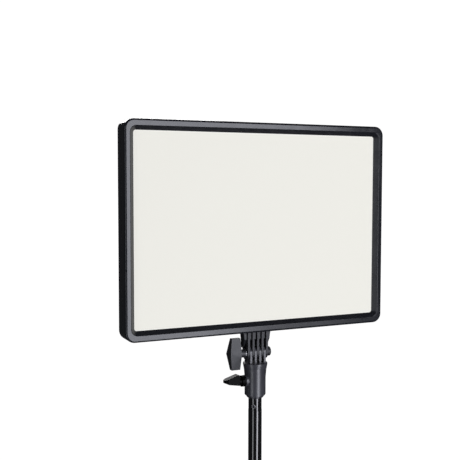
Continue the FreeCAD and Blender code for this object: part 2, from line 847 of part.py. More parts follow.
def make_front_bezel():
    """The moulded front frame: flat band, inner slope and the lip round the window."""
    body = rounded_slab("bezel_shell", "head_width", "seam_depth", "head_height",
                        "head_corner", *HEAD)
    dress(body, "Fillet", lambda edge: lies_at_depth(edge, 0), Radius="front_edge")
    dress(body, "Chamfer", lambda edge: lies_at_depth(edge, DIMENSIONS["seam_depth"]),
          Size="seam_chamfer")
    window = outline(body, "bezel_window", "XZ_Plane", rectangle(WINDOW_WIDTH, WINDOW_HEIGHT))
    pocket(body, window, "seam_depth+overcut")
    slope = DIMENSIONS["slope_width"]

    def within(edge, margin):
        """True for an edge no further out than the band's inner outline less a margin."""
        limits = edge.BoundBox
        reach = DIMENSIONS["head_width"] / 2 - DIMENSIONS["band_width"] - margin
        rise = DIMENSIONS["head_height"] / 2 - DIMENSIONS["band_height"] - margin
        return (max(abs(limits.XMin), abs(limits.XMax)) < reach + CLOSE
                and max(abs(limits.ZMin), abs(limits.ZMax)) < rise + CLOSE)

    dress(body, "Fillet", lambda edge: runs_along(edge, Y_AXIS) and within(edge, slope),
          Radius="window_corner")
    dress(body, "Chamfer", lambda edge: lies_at_depth(edge, 0) and within(edge, slope),
          Size="slope_width")
    dress(body, "Fillet", lambda edge: lies_at_depth(edge, 0) and within(edge, 0),
          Radius="band_edge")
    inner_width = "head_width-2*side_wall"
    inner_height = "head_height-2*side_wall"
    inner_corner = "head_corner-side_wall"
    front = "(-front_setback)"
    cavity = rounded_slab("bezel_cavity", inner_width, "seam_depth", inner_height,
                          inner_corner, "0", front + "+" + LIP_DEPTH, "head_middle")
    hollow = cut("bezel_hollow",
                 rounded_slab("bezel_hollow_outside", inner_width, "seam_depth",
                              inner_height, inner_corner, "0", front + "+front_skin",
                              "head_middle"),
                 slab("bezel_hollow_inside", inner_width + "-2*hollow_width",
                      "seam_depth+2*overcut", inner_height + "-2*hollow_width", "0",
                      front + "+front_skin-overcut", "head_middle"))
    frame = cut("bezel_frame", body, cavity, hollow)
    posts = []
    holes = []
    for index, (across, level) in enumerate(POSTS):
        up = post_height(level)
        posts.append(rod("bezel_post%d" % index, "post_radius", "seam_depth-front_skin",
                         across, "-front_setback+front_skin", up, ALONG_Y))
        holes.append(rod("bezel_post_hole%d" % index, "tapping_pilot",
                         "seam_depth-2*front_skin", across,
                         "-front_setback+2*front_skin+overcut", up, ALONG_Y))
    node("front_bezel", cut("front_bezel", fuse("bezel_blank", frame, *posts), *holes))


def make_rear_cover():
    """The moulded back shell with its vents, screw posts and the control opening."""
    depth = "(head_depth-seam_depth)"
    cover_front = "(-front_setback+seam_depth)"
    body = rounded_slab("cover_shell", "head_width", depth, "head_height", "head_corner",
                        "0", cover_front, "head_middle")
    back = DIMENSIONS["head_depth"] - DIMENSIONS["seam_depth"]
    dress(body, "Fillet", lambda edge: lies_at_depth(edge, back), Radius="back_edge")
    dress(body, "Chamfer", lambda edge: lies_at_depth(edge, 0), Size="seam_chamfer")
    cavity = rounded_slab("cover_cavity", "head_width-2*side_wall",
                          depth + "-back_wall+overcut", "head_height-2*side_wall",
                          "head_corner-side_wall", "0", cover_front + "-overcut",
                          "head_middle")
    opening = slab("cover_opening", "opening_width", depth + "+2*overcut",
                   "opening_height", "0", cover_front + "-overcut", HOUSING_MIDDLE)
    shell = cut("cover_walls", body, cavity, opening)
    posts = []
    holes = []
    for index, (across, level) in enumerate(POSTS):
        up = post_height(level)
        posts.append(rod("cover_post%d" % index, "post_radius", depth, across, cover_front,
                         up, ALONG_Y))
        holes.append(rod("cover_post_hole%d" % index, "tapping_clear", depth + "+2*overcut",
                         across, cover_front + "-overcut", up, ALONG_Y))
        holes.append(rod("cover_head_seat%d" % index, "head_seat", "head_seat_depth+overcut",
                         across, cover_front + "+" + depth + "-head_seat_depth", up, ALONG_Y))
    board_face = cover_front + "+" + depth + "-back_wall-driver_setback"
    for index, (across, up) in enumerate(DRIVER_POSTS):
        posts.append(rod("driver_post%d" % index, "driver_post", "driver_setback+overcut",
                         across, board_face, up, ALONG_Y))
        holes.append(rod("driver_post_hole%d" % index, "small_pilot", "driver_setback",
                         across, board_face, up, ALONG_Y))
    for index, (across, up) in enumerate(HOUSING_POSTS):
        holes.append(rod("housing_screw_hole%d" % index, "tapping_pilot",
                         "back_wall+2*overcut", across, HOUSING_FRONT + "-back_wall-overcut",
                         up, ALONG_Y))
    for side in ("-", ""):
        for index in range(round(DIMENSIONS["vent_count"])):
            holes.append(slab("vent%s%d" % ("_left" if side else "_right", index),
                              "vent_width", "back_wall+2*overcut", "vent_height",
                              "%s(%d*vent_pitch+vent_start)" % (side, index),
                              HOUSING_FRONT + "-back_wall-overcut",
                              "head_middle+vent_lift"))
    for index, across in enumerate(YOKE_SCREWS):
        holes.append(plug("floor_hole%d" % index, "yoke_screw_radius+hole_gap", "side_wall",
                          across, "0", "head_middle-head_height/2"))
    node("rear_cover", cut("rear_cover", fuse("cover_blank", shell, *posts), *holes))


DRIVER_POSTS = [("driver_across" + side + "(driver_width/2-driver_post_inset)",
                 "driver_up" + level + "(driver_height/2-driver_post_inset)")
                for side in "-+" for level in "-+"]
HOUSING_MIDDLE = "(head_middle-head_height/2+housing_height/2)"
HOUSING_POSTS = [(side + "(housing_width/2-housing_post_inset)",
                  HOUSING_MIDDLE + level + "(housing_height/2-housing_post_inset)")
                 for side in "-+" for level in "-+"]
BOARD_POSTS = [(side + "board_post_across", HOUSING_MIDDLE + level + "board_post_up")
               for side in "-+" for level in "-+"]


def make_optics():
    """Gasket, diffuser, light guide, reflector, back pan and the two rows of LEDs."""
    front = "(-front_setback+" + LIP_DEPTH + ")"
    stack_width = "(" + WINDOW_WIDTH + "+2*stack_overlap)"
    stack_height = "(" + WINDOW_HEIGHT + "+2*stack_overlap_high)"
    ring = slab("gasket_blank", stack_width, "gasket_thickness", stack_height, "0", front,
                "head_middle")
    inside = slab("gasket_inside", stack_width + "-2*gasket_width", "gasket_thickness+2*overcut",
                  stack_height + "-2*gasket_width_high", "0", front + "-overcut",
                  "head_middle")
    node("window_gasket", cut("window_gasket", ring, inside))
    level = front + "+gasket_thickness"
    node("diffuser", slab("diffuser", stack_width, "diffuser_thickness", stack_height, "0",
                          level, "head_middle"))
    level += "+diffuser_thickness+stack_gap"
    node("light_guide", slab("light_guide", stack_width, "guide_thickness", stack_height,
                             "0", level, "head_middle"))
    guide_level = level
    level += "+guide_thickness+stack_gap"
    node("reflector_sheet", slab("reflector_sheet", stack_width, "reflector_thickness",
                                 stack_height, "0", level, "head_middle"))
    level += "+reflector_thickness+stack_gap"
    strip_face = "(" + stack_width + "/2+stack_gap+led_height)"
    pan_half = "(" + strip_face + "+strip_thickness+pan_thickness)"
    pan_height = "(" + stack_height + "+pan_extra)"
    pan = [slab("pan_plate", pan_half + "*2", "pan_thickness", pan_height, "0", level,
                "head_middle")]
    for side, start in (("left", "-" + pan_half), ("right", pan_half + "-pan_thickness")):
        pan.append(box("pan_flange_" + side, "pan_thickness", "pan_flange",
                       pan_height, start, level + "-pan_flange",
                       "head_middle-" + pan_height + "/2"))
    node("back_pan", fuse("back_pan", *pan))
    for side, start, led_start in (
            ("left", "-" + strip_face + "-strip_thickness", "-" + strip_face),
            ("right", strip_face, strip_face + "-led_height")):
        node("led_strip_" + side,
             box("led_strip_" + side, "strip_thickness", "strip_width", stack_height, start,
                 level + "-strip_width-stack_gap", "head_middle-" + stack_height + "/2"))
        leds = []
        for index in range(round(DIMENSIONS["led_count"])):
            height = "head_middle+(%d-(led_count-1)/2)*led_pitch-led_length/2" % index
            leds.append(box("led_%s%d" % (side, index), "led_height", "led_width",
                            "led_length", led_start,
                            guide_level + "+(guide_thickness-led_width)/2", height))
        node("leds_" + side, group("leds_" + side, leds))


def make_cover_screws():
    """The eight screws that hold the rear cover to the front bezel."""
    screws = []
    for index, (across, level) in enumerate(POSTS):
        screws.append(screw("cover_screw%d" % index, across,
                            HOUSING_FRONT + "-head_seat_depth", post_height(level),
                            ALONG_MINUS_Y, "tapping_radius", "cover_screw_length",
                            "tapping_head", "tapping_head_height"))
    node("cover_screws", group("cover_screws", screws))


# ---------------------------------------------------------------- control housing

HOUSING_FRONT = "(head_depth-front_setback)"
HOUSING_BACK = "(head_depth-front_setback+housing_depth)"
BOARD_FACE = "(" + HOUSING_BACK + "-housing_wall-board_setback)"


def make_control_housing():
    """The raised housing low on the back that carries the controls."""
    body = rounded_slab("housing_shell", "housing_width", "housing_depth",
                        "housing_height", "housing_corner", "0", HOUSING_FRONT,
                        HOUSING_MIDDLE)
    dress(body, "Fillet", lambda edge: lies_at_depth(edge, DIMENSIONS["housing_depth"]),
          Radius="housing_edge")
    cavity = rounded_slab("housing_cavity", "housing_width-2*housing_wall",
                          "housing_depth-housing_wall+overcut",
                          "housing_height-2*housing_wall", "housing_corner-housing_wall",
                          "0", HOUSING_FRONT + "-overcut", HOUSING_MIDDLE)
    shell = cut("housing_walls", body, cavity)
    posts = [rod("housing_post%d" % index, "housing_post", "housing_depth-housing_wall/2", across,
                 HOUSING_FRONT, up, ALONG_Y)
             for index, (across, up) in enumerate(HOUSING_POSTS)]
    posts += [rod("board_post%d" % index, "board_post", "board_setback+overcut", across,
                  BOARD_FACE, up, ALONG_Y)
              for index, (across, up) in enumerate(BOARD_POSTS)]
    wall_front = HOUSING_BACK + "-housing_wall-overcut"
    through = "housing_wall+2*overcut"
    tools = [slab("display_opening", "display_width+2*fit_gap", through,
                  "display_height+2*fit_gap", "0", wall_front, HOUSING_MIDDLE)]
    for side in ("-", ""):
        tools.append(rod("dial_hole" + ("_left" if side else "_right"),
                         "encoder_bush+fit_gap", through, side + "dial_spacing",
                         wall_front, HOUSING_MIDDLE, ALONG_Y))
    tools.append(slab("switch_opening", "switch_width+2*fit_gap", through,
                      "switch_height+2*fit_gap", "switch_across", wall_front,
                      HOUSING_MIDDLE))
    tools.append(rod("jack_hole", "jack_nose+fit_gap", through,
                     "-housing_width/2-overcut", JACK_DEPTH, HOUSING_MIDDLE, ALONG_X))
    for index, (across, up) in enumerate(HOUSING_POSTS):
        tools.append(rod("housing_hole%d" % index, "tapping_clear", "housing_depth+2*overcut",
                         across, HOUSING_FRONT + "-overcut", up, ALONG_Y))
        tools.append(rod("housing_head_seat%d" % index, "head_seat",
                         "head_seat_depth+overcut", across,
                         HOUSING_BACK + "-head_seat_depth", up, ALONG_Y))
    for index, (across, up) in enumerate(BOARD_POSTS):
        tools.append(rod("board_hole%d" % index, "small_pilot", "board_setback-overcut",
                         across, BOARD_FACE + "-overcut", up, ALONG_Y))
    node("control_housing", cut("control_housing", fuse("housing_blank", shell, *posts), *tools))
    screws = [screw("housing_screw%d" % index, across, HOUSING_BACK + "-head_seat_depth", up,
                    ALONG_MINUS_Y, "tapping_radius", "housing_screw_length", "tapping_head",
                    "tapping_head_height")
              for index, (across, up) in enumerate(HOUSING_POSTS)]
    node("housing_screws", group("housing_screws", screws))


JACK_DEPTH = "(" + HOUSING_FRONT + "+jack_depth)"


def make_controls():
    """Board, display, encoders, dials, power switch and power inlet."""
    board = slab("board_blank", "board_width", "board_thickness", "board_height", "0",
                 BOARD_FACE + "-board_thickness", HOUSING_MIDDLE)
    holes = [rod("control_board_hole%d" % index, "small_clear",
                 "board_thickness+2*overcut", across,
                 BOARD_FACE + "-board_thickness-overcut", up, ALONG_Y)
             for index, (across, up) in enumerate(BOARD_POSTS)]
    node("control_board", cut("control_board", board, *holes))
    screws = [screw("board_screw%d" % index, across, BOARD_FACE + "-board_thickness", up,
                    ALONG_Y, "small_radius", "small_length", "small_head", "small_head_height")
              for index, (across, up) in enumerate(BOARD_POSTS)]
    node("board_screws", group("board_screws", screws))
    node("display_module", slab("display_module", "display_width-2*display_margin",
                                "board_setback-body_gap",
                                "display_height-2*display_margin", "0", BOARD_FACE,
                                HOUSING_MIDDLE))
    node("display_window", slab("display_window", "display_width", "housing_wall",
                                "display_height", "0", HOUSING_BACK + "-housing_wall",
                                HOUSING_MIDDLE))
    for name, side in (("brightness", "-"), ("colour", "")):
        across = side + "dial_spacing"
        case = slab(name + "_case", "encoder_side", "board_setback-body_gap", "encoder_side",
                    across, BOARD_FACE, HOUSING_MIDDLE)
        bush = rod(name + "_bush", "encoder_bush", "housing_wall+body_gap", across,
                   BOARD_FACE + "+board_setback-body_gap", HOUSING_MIDDLE, ALONG_Y)
        bore = rod(name + "_bush_bore", "encoder_shaft+stack_gap",
                   "housing_wall+encoder_floor+overcut", across,
                   BOARD_FACE + "+board_setback-encoder_floor", HOUSING_MIDDLE, ALONG_Y)
        node(name + "_encoder", cut(name + "_encoder", fuse(name + "_encoder_blank", case, bush),
                                    bore))
        node(name + "_shaft", rod(name + "_shaft", "encoder_shaft",
                                  "housing_wall+dial_gap+dial_length-overcut", across,
                                  BOARD_FACE + "+board_setback-overcut", HOUSING_MIDDLE,
                                  ALONG_Y))
        make_dial(name, across)
    make_power_switch()
    make_power_inlet()


def make_dial(name, across):
    """A fluted dial that is pressed on its encoder shaft."""
    base = HOUSING_BACK + "+dial_gap"
    body = new_body(name + "_turned", across, base, HOUSING_MIDDLE, ALONG_Y)
    top = "(dial_length-dial_dish)"
    profile = outline(body, name + "_profile", "XZ_Plane", [
        ("encoder_shaft", "0"),
        ("dial_radius+dial_skirt", "0"),
        ("dial_radius+dial_skirt", "dial_skirt_height"),
        ("dial_radius", "dial_skirt_top"),
        ("dial_radius-dial_skirt", "dial_length-dial_edge"),
        ("dial_radius-dial_skirt-dial_edge", "dial_length"),
        ("dial_radius-dial_skirt-dial_edge-dial_rim", "dial_length"),
        ("dial_radius-2*dial_skirt-dial_edge-dial_rim", top),
        ("0", top),
        ("0", top + "-dial_roof"),
        ("encoder_shaft", top + "-dial_roof")])
    revolve(body, profile)
    flutes = []
    count = round(DIMENSIONS["flute_count"])
    for index in range(count):
        angle = index * 360 / count
        circle = "(dial_radius+flute_offset)"
        flutes.append(rod("%s_flute%d" % (name, index), "flute_radius", "dial_length",
                          across + "+" + circle + "*cos(%g*1deg)" % angle,
                          base + "+dial_skirt_top",
                          HOUSING_MIDDLE + "+" + circle + "*sin(%g*1deg)" % angle, ALONG_Y))
    node(name + "_dial", cut(name + "_dial", body, *flutes))


def make_power_switch():
    """The rocker switch: its case in the housing wall and the rocker in the case."""
    rim = slab("switch_rim_plate", "switch_width+2*switch_rim", "switch_rim_depth",
               "switch_height+2*switch_rim", "switch_across", HOUSING_BACK, HOUSING_MIDDLE)
    case = slab("switch_case", "switch_width", "switch_depth", "switch_height",
                "switch_across", HOUSING_BACK + "-switch_depth", HOUSING_MIDDLE)
    well = slab("switch_well", "rocker_width+2*rocker_gap",
                "switch_floor+switch_rim_depth+overcut",
                "2*(rocker_half_length+rocker_end_gap)", "switch_across",
                HOUSING_BACK + "-switch_floor", HOUSING_MIDDLE)
    node("power_switch", cut("power_switch", fuse("switch_blank", rim, case), well))
    tilt = Rotation(X_AXIS, DIMENSIONS["rocker_rest_angle"])
    body = new_body("rocker_body", "switch_across", HOUSING_BACK + "-rocker_sink",
                    HOUSING_MIDDLE, tilt)
    side = outline(body, "rocker_side", "YZ_Plane", [
        ("-rocker_root", "-rocker_half_length+rocker_taper"),
        ("rocker_horn", "-rocker_half_length"),
        ("rocker_saddle", "0"),
        ("rocker_horn", "rocker_half_length"),
        ("-rocker_root", "rocker_half_length-rocker_taper")],
        "-rocker_width/2")
    pad(body, side, "rocker_width")
    node("power_rocker", body)


def make_power_inlet():
    """The low-voltage inlet in the side of the housing, with its centre pin."""
    wall = "-housing_width/2+housing_wall"
    case = box("jack_case", "jack_length", "jack_side", "jack_side", wall,
               JACK_DEPTH + "-jack_side/2", HOUSING_MIDDLE + "-jack_side/2")
    nose = rod("jack_nose_rod", "jack_nose", "housing_wall+overcut", "-housing_width/2",
               JACK_DEPTH, HOUSING_MIDDLE, ALONG_X)
    bore = rod("jack_bore_rod", "jack_bore", "jack_bore_depth+overcut",
               "-housing_width/2-overcut", JACK_DEPTH, HOUSING_MIDDLE, ALONG_X)
    node("power_inlet", cut("power_inlet", fuse("jack_blank", case, nose), bore))
    node("inlet_pin", rod("inlet_pin", "jack_pin", "jack_bore_depth-jack_pin_recess",
                          "-housing_width/2+jack_pin_recess", JACK_DEPTH, HOUSING_MIDDLE,
                          ALONG_X))


def make_driver():
    """The LED driver board with its choke, capacitors and chips."""
    back = "(head_depth-front_setback-back_wall-driver_setback)"
    front = "(" + back + "-board_thickness)"
    board = slab("driver_blank", "driver_width", "board_thickness", "driver_height",
                 "driver_across", front, "driver_up")
    holes = [rod("driver_hole%d" % index, "small_clear", "board_thickness+2*overcut", across,
                 front + "-overcut", up, ALONG_Y)
             for index, (across, up) in enumerate(DRIVER_POSTS)]
    node("driver_board", cut("driver_board", board, *holes))
    screws = [screw("driver_screw%d" % index, across, front, up, ALONG_Y, "small_radius",
                    "small_length", "small_head", "small_head_height")
              for index, (across, up) in enumerate(DRIVER_POSTS)]
    node("driver_screws", group("driver_screws", screws))
    node("driver_choke", rod("driver_choke", "choke_radius", "choke_height",
                             "driver_across-choke_across", front, "driver_up+choke_up",
                             ALONG_MINUS_Y))
    capacitors = [rod("capacitor%d" % index, "capacitor_radius", "capacitor_height",
                      "driver_across+capacitor_across+%d*capacitor_pitch" % index, front,
                      "driver_up-capacitor_down", ALONG_MINUS_Y) for index in range(2)]
    node("driver_capacitors", group("driver_capacitors", capacitors))
    chips = [slab("driver_chip%d" % index, "chip_width", "chip_thickness", "chip_height",
                  "driver_across+chip_across+%d*chip_pitch" % index,
                  front + "-chip_thickness", "driver_up+chip_up") for index in range(2)]
    node("driver_chips", group("driver_chips", chips))


make_stand()
make_socket()
make_clamp_screw()
make_yoke()
make_yoke_fixing()
make_tilt_knob()
make_tilt_nut()
make_front_bezel()
make_rear_cover()
make_optics()
make_cover_screws()
make_control_housing()
make_controls()
make_driver()
doc.recompute()

broken = [item.Name for item in doc.Objects
          if "Invalid" in item.State or "Error" in item.State]
if broken:
    raise RuntimeError("objects that failed: " + ", ".join(broken))
for item in nodes:
    if item.Shape.isNull() or not item.Shape.isValid() or not item.Shape.Solids:
        raise RuntimeError("no valid solid in " + item.Label)

os.makedirs("parts", exist_ok=True)
for item in nodes:
    item.Shape.exportStep("parts/" + item.Label + ".step")
print("%d parts written" % len(nodes))
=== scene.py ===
import json
import math

import bmesh
import bpy
from mathutils import Euler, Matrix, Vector
from mathutils.bvhtree import BVHTree


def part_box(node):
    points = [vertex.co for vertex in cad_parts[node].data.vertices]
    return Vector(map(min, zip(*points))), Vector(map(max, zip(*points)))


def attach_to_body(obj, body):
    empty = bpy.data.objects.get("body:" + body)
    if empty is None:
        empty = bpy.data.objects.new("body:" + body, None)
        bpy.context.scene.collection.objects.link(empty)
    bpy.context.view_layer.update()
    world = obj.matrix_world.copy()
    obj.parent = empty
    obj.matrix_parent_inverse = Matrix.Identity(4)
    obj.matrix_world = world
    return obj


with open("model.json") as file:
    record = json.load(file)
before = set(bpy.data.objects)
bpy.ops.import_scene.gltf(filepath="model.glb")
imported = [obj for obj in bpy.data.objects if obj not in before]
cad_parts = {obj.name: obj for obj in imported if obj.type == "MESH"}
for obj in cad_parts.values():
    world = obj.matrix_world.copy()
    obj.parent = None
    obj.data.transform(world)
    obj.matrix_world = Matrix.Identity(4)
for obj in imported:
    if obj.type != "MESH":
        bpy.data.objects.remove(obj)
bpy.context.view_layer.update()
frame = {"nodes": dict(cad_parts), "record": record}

# The LED panel light on its stand tube.  Metres, +Z up, the light faces -Y, as in the CAD frame.

NODES = frame["nodes"]
MM = 0.001

HEAD_LOW, HEAD_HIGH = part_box("front_bezel")
HEAD_CENTRE = (HEAD_LOW + HEAD_HIGH) / 2
WINDOW_LOW, WINDOW_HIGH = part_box("diffuser")


# ---------------------------------------------------------------- camera

CAMERA_LENS = 61.3
CAMERA_TILT = math.radians(90 - 3.51)
CAMERA_ROLL = math.radians(-0.08)
CAMERA_TURN = math.radians(-24.49)
# How far across, in front of the bezel's face, and above the head's middle.
CAMERA_PLACE = (-0.4252, 0.8367, 0.0553)


def make_camera():
    """A camera to the left of the light and a little above its middle."""
    camera = bpy.data.cameras.new("camera")
    camera.lens = CAMERA_LENS
    camera.sensor_width = 36.0
    camera.clip_end = 50
    rig = bpy.data.objects.new("camera", camera)
    bpy.context.scene.collection.objects.link(rig)
    across, in_front, above = CAMERA_PLACE
    rig.location = (across, HEAD_LOW.y - in_front, HEAD_CENTRE.z + above)
    rig.rotation_euler = Euler((CAMERA_TILT, CAMERA_ROLL, CAMERA_TURN))
    bpy.context.scene.camera = rig


make_camera()


# ---------------------------------------------------------------- material helpers

class Shader:
    """A new material with short ways to add and join nodes."""

    def __init__(self, name):
        self.material = bpy.data.materials.new(name)
        self.material.use_nodes = True
        self.tree = self.material.node_tree
        self.main = self.tree.nodes["Principled BSDF"]

    def add(self, kind, **values):
        """Add a node and set its own settings."""
        item = self.tree.nodes.new("ShaderNode" + kind)
        for key, value in values.items():
            setattr(item, key, value)
        return item

    def join(self, source, target):
        self.tree.links.new(source, target)

    def set(self, **values):
        """Set the shader's own sockets; a name's underscores stand for spaces."""
        for key, value in values.items():
            self.main.inputs[key.replace("_", " ")].default_value = value

    def place(self, scale=(1, 1, 1)):
        """The point on the object, in metres, stretched along each axis."""
        source = self.add("TexCoord").outputs["Object"]
        mapping = self.add("Mapping")
        mapping.inputs["Scale"].default_value = scale
        self.join(source, mapping.inputs["Vector"])
        return mapping.outputs["Vector"]

    def noise(self, point, size, detail=2.0, rough=0.5):
        """Noise with lumps of a given size in metres."""
        item = self.add("TexNoise")
        item.inputs["Scale"].default_value = 1 / size
        item.inputs["Detail"].default_value = detail
        item.inputs["Roughness"].default_value = rough
        self.join(point, item.inputs["Vector"])
        return item.outputs["Fac"]

    def ramp(self, source, low, high, start=0.3, end=0.7):
        """Map a value to a colour between two stops."""
        item = self.add("ValToRGB")
        item.color_ramp.elements[0].position = start
        item.color_ramp.elements[1].position = end
        item.color_ramp.elements[0].color = (*low, 1)
        item.color_ramp.elements[1].color = (*high, 1)
        self.join(source, item.inputs["Fac"])
        return item.outputs["Color"]

    def span(self, source, low, high, start=0.3, end=0.7):
        """Map a value to a number between two ends."""
        item = self.add("MapRange")
        for socket, value in (("From Min", start), ("From Max", end), ("To Min", low),
                              ("To Max", high)):
            item.inputs[socket].default_value = value
        self.join(source, item.inputs["Value"])
        return item.outputs["Result"]

    def bump(self, height, depth):
        """Roughen the surface by a height map; depth is in metres."""
        item = self.add("Bump")
        item.inputs["Distance"].default_value = depth
        item.inputs["Strength"].default_value = 1.0
        self.join(height, item.inputs["Height"])
        self.join(item.outputs["Normal"], self.main.inputs["Normal"])

    def math(self, operation, first, second):
        """Combine a socket with a socket or a number."""
        item = self.add("Math", operation=operation)
        self.join(first, item.inputs[0])
        if isinstance(second, (int, float)):
            item.inputs[1].default_value = second
        else:
            self.join(second, item.inputs[1])
        return item.outputs["Value"]


def shade(colour, factor):
    """A colour made darker or lighter by a factor."""
    return tuple(part * factor for part in colour)


def moulded(name, colour, roughness, grain, depth, mottle=0.12, specular=0.5, lift=1.25):
    """Moulded plastic: spark-eroded grain, uneven gloss and a faint change of tone."""
    shader = Shader(name)
    point = shader.place()
    broad = shader.noise(point, 0.045, detail=3.0)
    fine = shader.noise(point, grain, detail=2.0, rough=0.6)
    shader.join(shader.ramp(broad, shade(colour, 1 - mottle), shade(colour, lift)),
                shader.main.inputs["Base Color"])
    uneven = shader.noise(point, 0.012, detail=4.0)
    shader.join(shader.span(uneven, roughness - 0.035, roughness + 0.035),
                shader.main.inputs["Roughness"])
    shader.set(Specular_IOR_Level=specular)
    shader.bump(fine, depth)
    return shader.material


def metal(name, colour, roughness, stretch=(1, 1, 1)):
    """Bare metal with tool marks drawn out along one way."""
    shader = Shader(name)
    marks = shader.noise(shader.place(stretch), 0.0006, detail=3.0, rough=0.6)
    stains = shader.noise(shader.place(), 0.006, detail=3.0)
    shader.join(shader.ramp(stains, shade(colour, 0.86), colour), shader.main.inputs["Base Color"])
    shader.join(shader.span(marks, roughness - 0.06, roughness + 0.1),
                shader.main.inputs["Roughness"])
    shader.set(Metallic=1.0)
    shader.bump(marks, 0.000004)
    return shader.material


# ---------------------------------------------------------------- materials

OPAL_GLOW = 0.5
OPAL_RIM = 1.5 * MM
# How much of the window the bezel's lip hides on each side.
OPAL_HIDDEN = Vector((2.8, 0, 1.8)) * MM


def make_opal():
    """Opal acrylic lit from both side edges: even, with a thin brighter rim."""
    shader = Shader("opal_acrylic")
    point = shader.place()
    split = shader.add("SeparateXYZ")
    shader.join(point, split.inputs["Vector"])
    half_width = (WINDOW_HIGH.x - WINDOW_LOW.x) / 2 - OPAL_HIDDEN.x
    half_height = (WINDOW_HIGH.z - WINDOW_LOW.z) / 2 - OPAL_HIDDEN.z
    across = shader.math("SUBTRACT", shader.math("ABSOLUTE", split.outputs["X"], 0.0), half_width)
    lifted = shader.math("SUBTRACT", split.outputs["Z"], HEAD_CENTRE.z)
    up = shader.math("SUBTRACT", shader.math("ABSOLUTE", lifted, 0.0), half_height)
    edge = shader.math("MAXIMUM", across, up)
    glow = shader.span(edge, 0.0, 1.0, -OPAL_RIM, 0.0)
    cloud = shader.noise(point, 0.09, detail=2.0)
    base = shader.ramp(cloud, (0.415, 0.405, 0.350), (0.425, 0.415, 0.360))
    shader.join(base, shader.main.inputs["Base Color"])
    shader.join(shader.ramp(glow, (1.06, 1.05, 0.98), (1.24, 1.24, 1.20), 0.0, 1.0),
                shader.main.inputs["Emission Color"])
    shader.set(Emission_Strength=OPAL_GLOW, Specular_IOR_Level=0.3)
    shader.join(shader.span(cloud, 0.52, 0.6), shader.main.inputs["Roughness"])
    shader.bump(shader.noise(point, 0.0009, detail=1.0), 0.00002)
    return shader.material


def make_clear_acrylic():
    """The light guide: clear acrylic with a fine pattern of printed dots."""
    shader = Shader("clear_acrylic")
    dots = shader.add("TexVoronoi")
    dots.inputs["Scale"].default_value = 1 / (1.6 * MM)
    shader.join(shader.place(), dots.inputs["Vector"])
    shader.join(shader.ramp(dots.outputs["Distance"], (1, 1, 1), (0.93, 0.96, 0.95), 0.2, 0.3),
                shader.main.inputs["Base Color"])
    shader.set(Roughness=0.08, Transmission_Weight=0.8, IOR=1.49)
    return shader.material


def make_smoked_window():
    """Smoked polished acrylic over the display."""
    shader = Shader("smoked_window")
    point = shader.place()
    tone = shader.noise(point, 0.02)
    shader.join(shader.ramp(tone, (0.035, 0.037, 0.04), (0.05, 0.052, 0.056)),
                shader.main.inputs["Base Color"])
    shader.join(shader.span(shader.noise(point, 0.004), 0.05, 0.09),
                shader.main.inputs["Roughness"])
    shader.set(Transmission_Weight=0.55, IOR=1.49)
    return shader.material


def make_gloss_tube():
    """Black lacquered tube: deep gloss, faint drawing lines and fine dust marks."""
    shader = Shader("gloss_black_tube")
    lines = shader.noise(shader.place((1, 1, 0.004)), 0.003, detail=1.0)
    wear = shader.noise(shader.place(), 0.02, detail=3.0)
    shader.join(shader.ramp(wear, (0.0035, 0.0035, 0.0038), (0.006, 0.006, 0.0064)),
                shader.main.inputs["Base Color"])
    shader.join(shader.span(wear, 0.12, 0.16), shader.main.inputs["Roughness"])
    shader.set(Specular_IOR_Level=0.9, Coat_Weight=1.0, Coat_Roughness=0.05)
    shader.bump(lines, 0.000001)
    return shader.material


def make_display():
    """Unlit liquid-crystal glass: grey-green with a fine pixel grid."""
    shader = Shader("display_glass")
    point = shader.place()
    grid = shader.add("TexBrick")
    grid.offset = 0.0
    grid.inputs["Scale"].default_value = 1 / (0.8 * MM)
    grid.inputs["Color1"].default_value = (0.10, 0.12, 0.105, 1)
    grid.inputs["Color2"].default_value = (0.095, 0.115, 0.10, 1)
    grid.inputs["Mortar"].default_value = (0.07, 0.085, 0.075, 1)
    grid.inputs["Mortar Size"].default_value = 0.04
    turn = shader.add("Mapping")
    turn.inputs["Rotation"].default_value = (math.radians(90), 0, 0)
    shader.join(point, turn.inputs["Vector"])
    shader.join(turn.outputs["Vector"], grid.inputs["Vector"])
    shader.join(grid.outputs["Color"], shader.main.inputs["Base Color"])
    shader.join(shader.span(shader.noise(point, 0.01), 0.12, 0.2),
                shader.main.inputs["Roughness"])
    return shader.material


def make_board(name, mask, copper):
    """A circuit board: solder mask over tracks that show as a slightly lighter net."""
    shader = Shader(name)
    point = shader.place()
    tracks = shader.add("TexVoronoi", feature="DISTANCE_TO_EDGE")
    tracks.inputs["Scale"].default_value = 1 / (5 * MM)
    shader.join(point, tracks.inputs["Vector"])
    shader.join(shader.ramp(tracks.outputs["Distance"], copper, mask, 0.04, 0.07),
                shader.main.inputs["Base Color"])
    shader.join(shader.span(shader.noise(point, 0.003), 0.3, 0.42),
                shader.main.inputs["Roughness"])
    shader.bump(tracks.outputs["Distance"], 0.00003)
    return shader.material


def make_led():
    """A white LED package: a yellow phosphor field in a pale moulded rim."""
    shader = Shader("led_package")
    point = shader.place()
    shader.join(shader.ramp(shader.noise(point, 0.0006), (0.90, 0.72, 0.22), (0.95, 0.82, 0.34)),
                shader.main.inputs["Base Color"])
    shader.join(shader.span(shader.noise(point, 0.002), 0.3, 0.45),
                shader.main.inputs["Roughness"])
    shader.set(Subsurface_Weight=0.1)
    return shader.material


